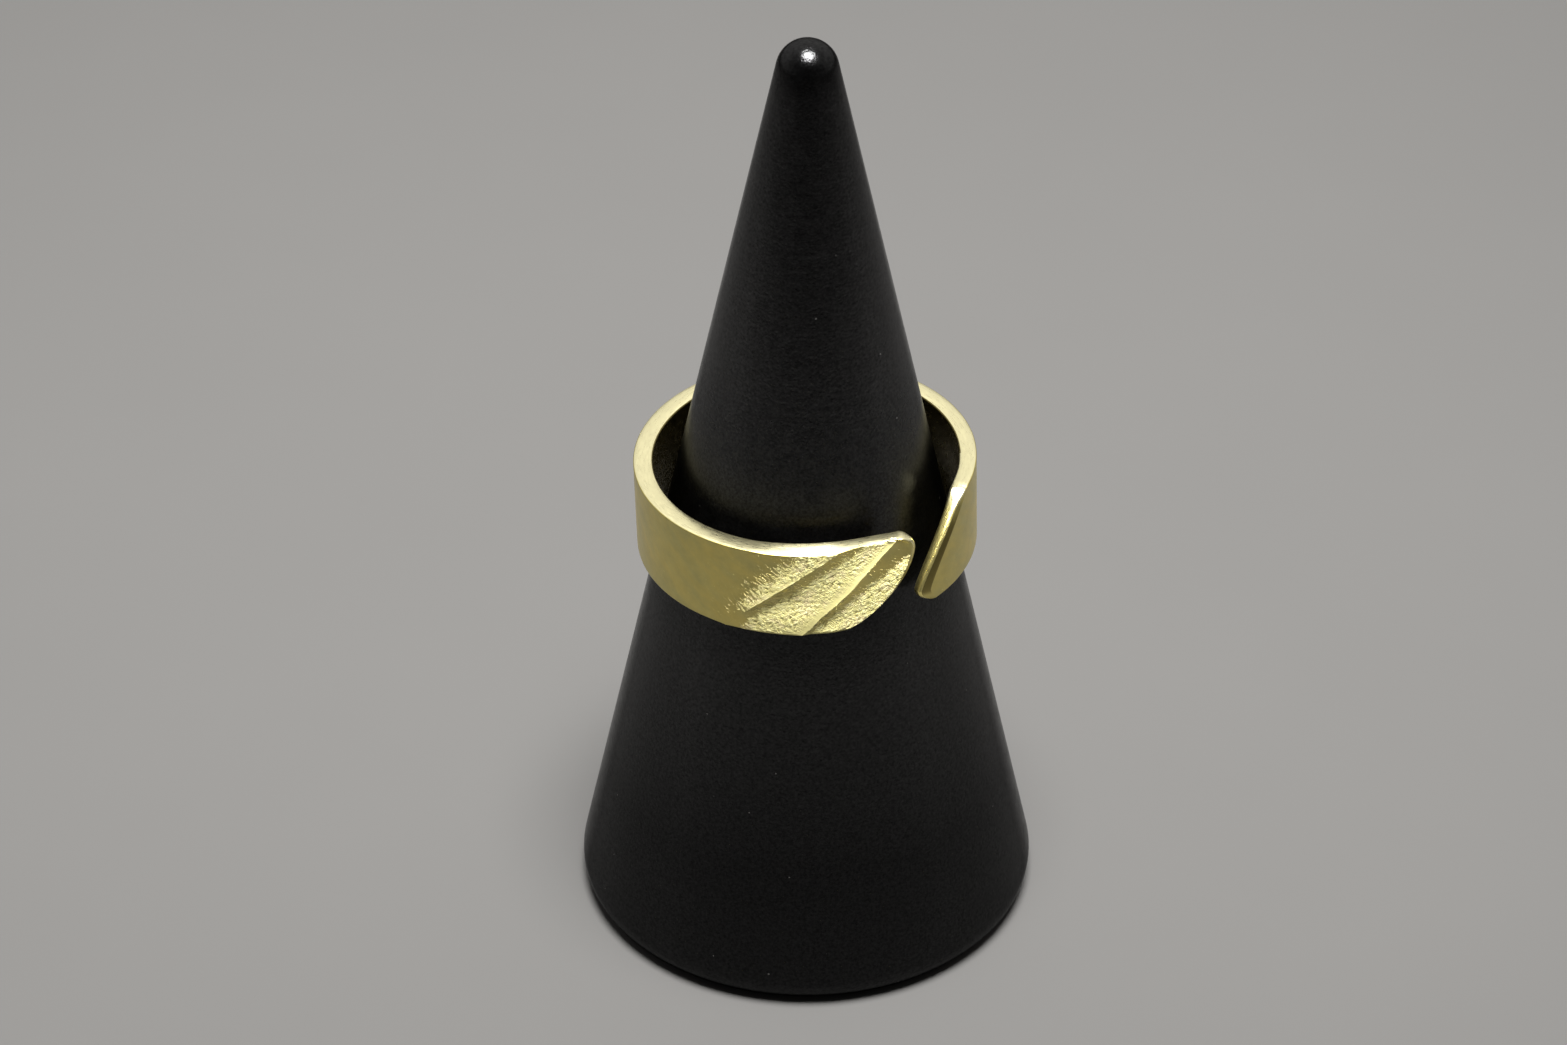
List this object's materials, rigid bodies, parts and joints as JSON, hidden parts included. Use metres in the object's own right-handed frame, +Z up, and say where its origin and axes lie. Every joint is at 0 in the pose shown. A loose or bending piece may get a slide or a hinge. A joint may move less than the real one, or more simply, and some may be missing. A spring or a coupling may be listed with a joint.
{
  "type": "open cuff ring on cone stand",
  "caption": "Open cuff ring with a leaf-like textured end, bent from one brass strip, seated on a plain ring cone that displays it upright.",
  "frame": {"origin": "middle of the cone's flat base, on the surface that it stands on", "axes": "+Z up along the cone's axis; -Y to the front, where the ring's textured end is; the ring opens at the front right, between -Y and +X"},
  "size_m": [0.028, 0.028, 0.0593],
  "materials": {
    "black_lacquer": "black lacquer, semi-gloss, with a faint orange-peel mottle",
    "satin_brass": "satin, grainy on the textured end, with bright worn rims"
  },
  "bodies": {
    "root": {"cone_stand": "black_lacquer", "ring": "satin_brass"}
  },
  "joints": []
}
